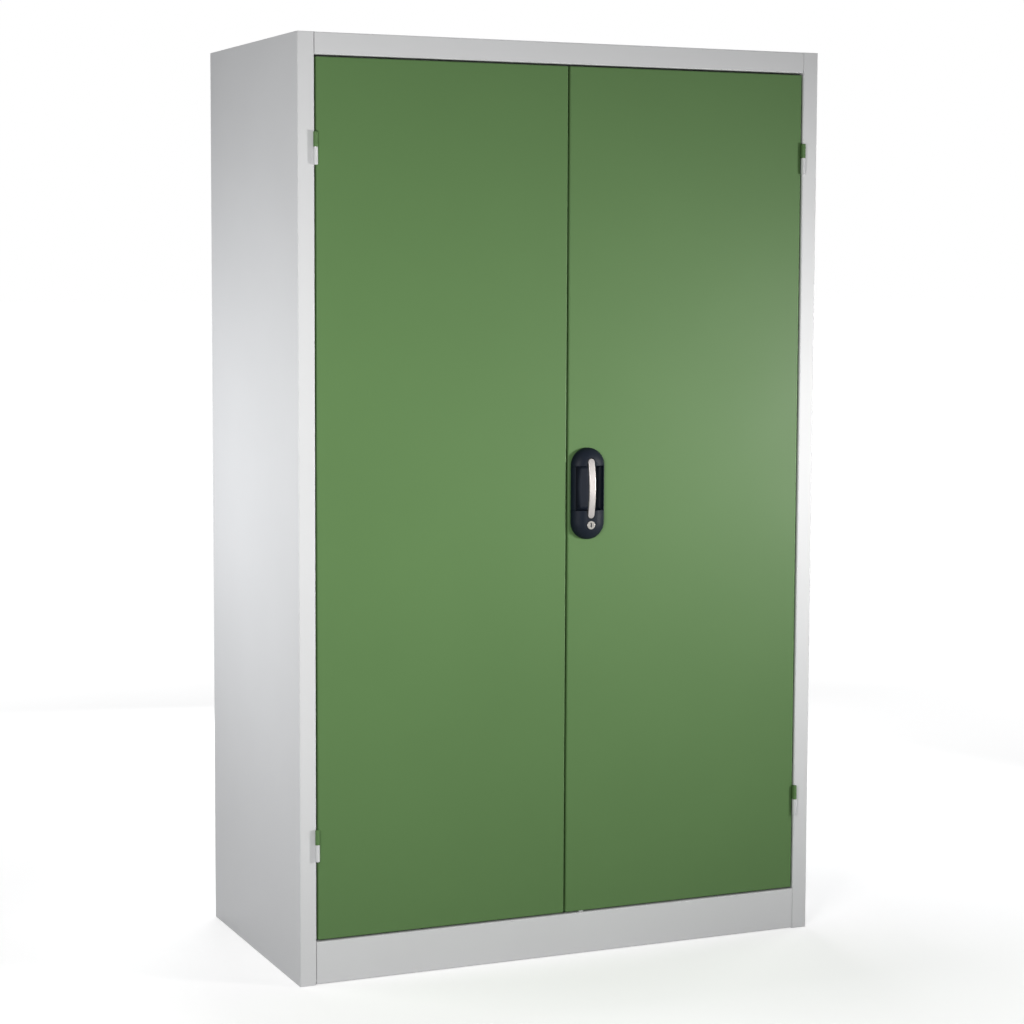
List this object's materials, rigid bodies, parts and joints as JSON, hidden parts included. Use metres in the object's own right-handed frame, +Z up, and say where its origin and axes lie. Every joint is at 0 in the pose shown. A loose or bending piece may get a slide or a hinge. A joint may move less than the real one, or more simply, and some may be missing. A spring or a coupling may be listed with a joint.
{
  "type": "tool cabinet with doors",
  "caption": "Tall steel tool cabinet with hinged wing doors, adjustable shelves, a bow pull handle and a key-operated rod lock.",
  "frame": {"origin": "on the floor, under the middle of the carcass", "axes": "+X to the right seen from the front, +Y from the front to the back, +Z up"},
  "size_m": [1.2, 0.6315, 1.95],
  "materials": {
    "frame_paint": "light grey powder coat, semi-gloss with a fine orange-peel texture",
    "interior_paint": "light grey powder coat",
    "door_paint": "reseda green powder coat, glossy with a faint orange-peel texture",
    "shelf_zinc": "galvanised sheet with a soft spangle",
    "plated_steel": "bright zinc plate",
    "buffer_rubber": "black rubber",
    "handle_plastic": "black moulded plastic with a fine grain",
    "bow_metal": "satin silver lacquer on die casting",
    "lock_metal": "satin nickel plate"
  },
  "bodies": {
    "cabinet": {"left_side_panel": "frame_paint", "right_side_panel": "frame_paint", "back_panel": "frame_paint", "top_panel": "frame_paint", "floor_panel": "interior_paint", "plinth": "frame_paint", "left_shelf_uprights": "interior_paint", "right_shelf_uprights": "interior_paint", "left_frame_hinges": "frame_paint", "right_frame_hinges": "frame_paint", "hinge_pins": "plated_steel", "hinge_washers": "plated_steel", "door_buffers": "buffer_rubber", "door_rest": "frame_paint", "top_rod_keeper": "plated_steel", "bottom_rod_keeper": "plated_steel", "shelf_1": "shelf_zinc", "shelf_1_clips": "plated_steel", "shelf_2": "shelf_zinc", "shelf_2_clips": "plated_steel", "shelf_3": "shelf_zinc", "shelf_3_clips": "plated_steel", "shelf_4": "shelf_zinc", "shelf_4_clips": "plated_steel"},
    "left_door": {"left_door_skin": "door_paint", "left_door_stiffener_1": "door_paint", "left_door_stiffener_2": "door_paint", "left_door_hinges": "door_paint", "left_door_strike": "plated_steel"},
    "right_door": {"right_door_skin": "door_paint", "right_door_stiffener_1": "door_paint", "right_door_stiffener_2": "door_paint", "right_door_hinges": "door_paint", "handle_housing": "handle_plastic", "handle_upper_hood": "handle_plastic", "handle_lower_hood": "handle_plastic", "pull_bow": "bow_metal", "bow_screws": "plated_steel", "lock_cylinder": "lock_metal", "cylinder_nut": "plated_steel", "lock_case": "plated_steel", "case_screws": "plated_steel", "rod_guides": "handle_plastic"},
    "key_cam": {"key_core": "lock_metal", "lock_cam": "plated_steel", "cam_screw": "plated_steel"},
    "top_rod_body": {"top_rod": "plated_steel"},
    "bottom_rod_body": {"bottom_rod": "plated_steel"},
    "centre_bolt_body": {"centre_bolt": "plated_steel"}
  },
  "joints": [
    {"name": "left_door_swing", "type": "hinge", "parent": "cabinet", "child": "left_door", "pos_m": [-0.56332, -0.3053, 1], "axis": [0, 0, -1], "range_deg": [0, 180]},
    {"name": "right_door_swing", "type": "hinge", "parent": "cabinet", "child": "right_door", "pos_m": [0.56332, -0.3053, 1], "axis": [0, 0, 1], "range_deg": [0, 180]},
    {"name": "key_turn", "type": "hinge", "parent": "right_door", "child": "key_cam", "pos_m": [0.046, -0.3, 0.935], "axis": [0, -1, 0], "range_deg": [0, 90]},
    {"name": "top_rod_slide", "type": "slide", "parent": "right_door", "child": "top_rod_body", "axis": [0, 0, 1], "range_m": [0, 0.01414]},
    {"name": "bottom_rod_slide", "type": "slide", "parent": "right_door", "child": "bottom_rod_body", "axis": [0, 0, -1], "range_m": [0, 0.0142]},
    {"name": "centre_bolt_slide", "type": "slide", "parent": "right_door", "child": "centre_bolt_body", "axis": [-1, 0, 0], "range_m": [0, 0.0142]}
  ],
  "couplings": [
    {"joint": "key_turn", "follows": "top_rod_slide", "rad_per_m": 111.07},
    {"joint": "bottom_rod_slide", "follows": "top_rod_slide", "ratio": 1},
    {"joint": "centre_bolt_slide", "follows": "top_rod_slide", "ratio": 1}
  ]
}
